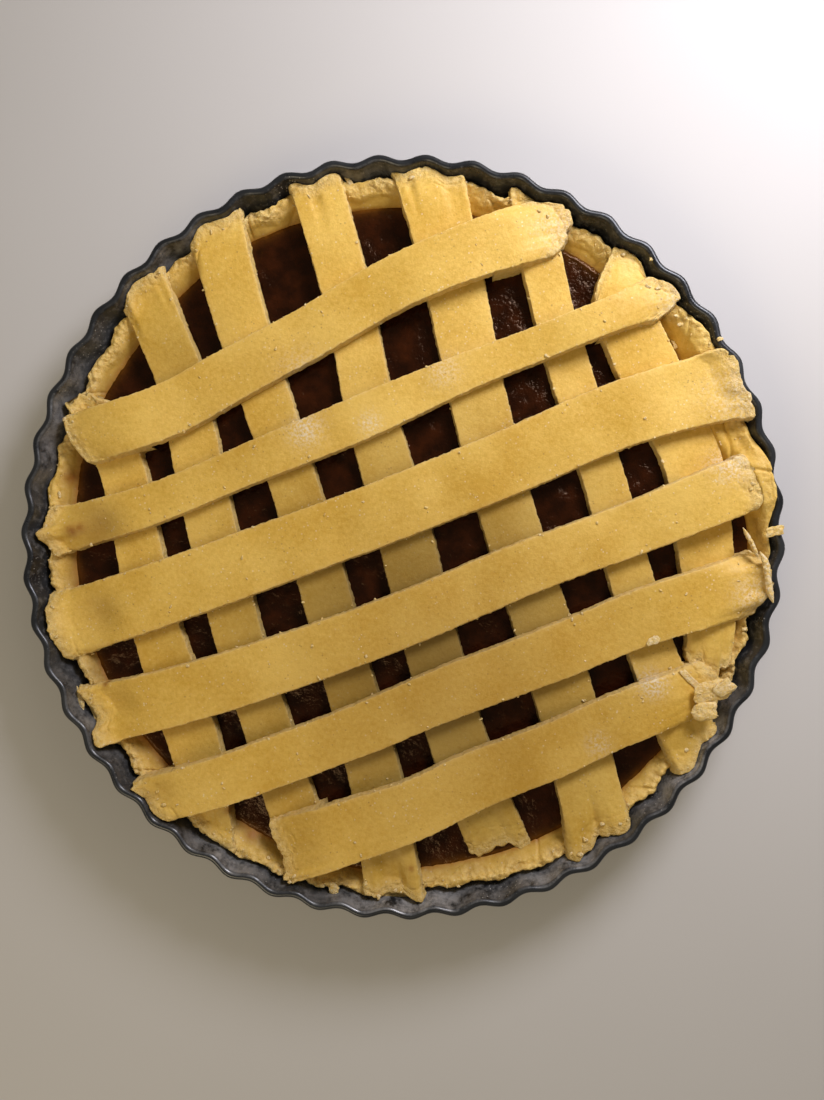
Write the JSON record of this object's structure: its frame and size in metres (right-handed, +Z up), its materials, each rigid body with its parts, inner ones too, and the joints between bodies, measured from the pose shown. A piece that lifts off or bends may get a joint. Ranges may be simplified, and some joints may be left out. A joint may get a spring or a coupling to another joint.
{
  "type": "jam crostata",
  "caption": "Unbaked jam crostata in its dark fluted steel tin, with a hand-laid lattice of raw shortcrust strips over dark jam.",
  "frame": {"origin": "centre of the tin on the surface that it stands on", "axes": "+Z up out of the tin's mouth; the upper strips run from -X to +X, rising a little towards +Y, and the under strips run from +Y to -Y"},
  "size_m": [0.2796, 0.2794, 0.0309],
  "materials": {
    "tin_steel": "dark grey non-stick coating, satin",
    "shell_dough": "raw shortcrust dough, matte with a faint butter sheen",
    "under_dough": "raw shortcrust dough, matte",
    "top_dough": "raw shortcrust dough, matte with a faint butter sheen",
    "jam": "dark set jam, wet gloss"
  },
  "bodies": {
    "root": {"tin": "tin_steel", "crust_shell": "shell_dough", "jam_filling": "jam", "under_strip_1": "under_dough", "under_strip_2": "under_dough", "under_strip_3": "under_dough", "under_strip_4": "under_dough", "under_strip_5": "under_dough", "under_strip_6": "under_dough", "under_strip_7": "under_dough", "top_strip_1": "top_dough", "top_strip_2": "top_dough", "top_strip_3": "top_dough", "top_strip_4": "top_dough", "top_strip_5": "top_dough", "top_strip_6": "top_dough", "dough_shred_1": "top_dough", "dough_shred_2": "top_dough", "dough_scrap_1": "top_dough", "dough_lump_1": "top_dough", "dough_lump_2": "top_dough"}
  },
  "joints": []
}
